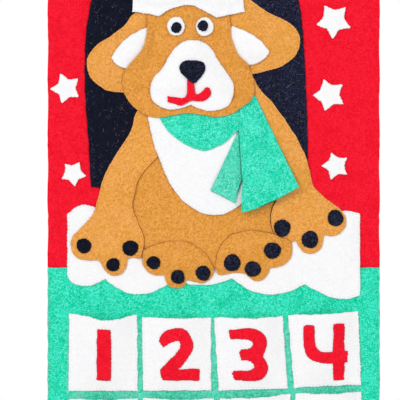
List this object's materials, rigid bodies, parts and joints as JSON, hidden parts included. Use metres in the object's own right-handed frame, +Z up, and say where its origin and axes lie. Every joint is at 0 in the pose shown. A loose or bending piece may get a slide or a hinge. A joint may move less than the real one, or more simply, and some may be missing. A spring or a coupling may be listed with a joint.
{
  "type": "hanging advent calendar",
  "caption": "Long felt wall calendar on a wooden rod: a puppy in a Santa hat and scarf, in layered felt cut-outs, above a grid of open day pockets.",
  "frame": {"origin": "middle of the hanging rod, on its axis", "axes": "+Z up, +X to the right of someone facing the calendar, front towards -Y, back towards the wall along +Y"},
  "size_m": [0.396, 0.0367, 1.0445],
  "materials": {
    "red_felt": "soft needled felt",
    "green_felt": "soft needled felt",
    "green_shade_felt": "soft needled felt",
    "tan_felt": "soft needled felt",
    "navy_felt": "soft needled felt",
    "white_felt": "soft needled felt",
    "rod_wood": "plain sanded wood"
  },
  "bodies": {
    "panel": {"backing_panel": "red_felt", "green_panel": "green_felt", "snow_bank": "white_felt", "arch_panel": "navy_felt", "torso": "tan_felt", "arm_left": "tan_felt", "arm_right": "tan_felt", "foot_left": "tan_felt", "foot_right": "tan_felt", "belly_bib": "white_felt", "scarf_collar": "green_felt", "head": "tan_felt", "ear_left": "tan_felt", "ear_right": "tan_felt", "ear_lining_left": "white_felt", "ear_lining_right": "white_felt", "muzzle": "white_felt", "mouth": "red_felt", "nose": "navy_felt", "eye_left": "white_felt", "eye_right": "white_felt", "hat_brim": "white_felt", "hat_crown": "red_felt", "hat_pompom": "white_felt", "star_left_1": "white_felt", "star_left_2": "white_felt", "star_left_3": "white_felt", "star_left_4": "white_felt", "star_right_1": "white_felt", "star_right_2": "white_felt", "star_right_3": "white_felt", "star_right_4": "white_felt", "pocket_01": "white_felt", "pocket_02": "white_felt", "pocket_03": "white_felt", "pocket_04": "white_felt", "pocket_05": "white_felt", "pocket_06": "white_felt", "pocket_07": "white_felt", "pocket_08": "white_felt", "pocket_09": "white_felt", "pocket_10": "white_felt", "pocket_11": "white_felt", "pocket_12": "white_felt", "pocket_13": "white_felt", "pocket_14": "white_felt", "pocket_15": "white_felt", "pocket_16": "white_felt", "pocket_17": "white_felt", "pocket_18": "white_felt", "pocket_19": "white_felt", "pocket_20": "white_felt", "pocket_21": "white_felt", "pocket_22": "white_felt", "pocket_23": "white_felt", "pocket_24": "white_felt"},
    "tail_long": {"scarf_tail_long": "green_felt"},
    "tail_short": {"scarf_tail_short": "green_shade_felt"},
    "rod": {"hanging_rod": "rod_wood"}
  },
  "joints": [
    {"name": "scarf_tail_long_lift", "type": "hinge", "parent": "panel", "child": "tail_long", "pos_m": [0.02935, -0.01335, -0.30802], "axis": [-1, 0, 0], "range_deg": [0, 120]},
    {"name": "scarf_tail_short_lift", "type": "hinge", "parent": "panel", "child": "tail_short", "pos_m": [0.02935, -0.01335, -0.30802], "axis": [-1, 0, 0], "range_deg": [0, 120]},
    {"name": "rod_slide", "type": "slide", "parent": "panel", "child": "rod", "axis": [1, 0, 0], "range_m": [0, 0.37]}
  ]
}
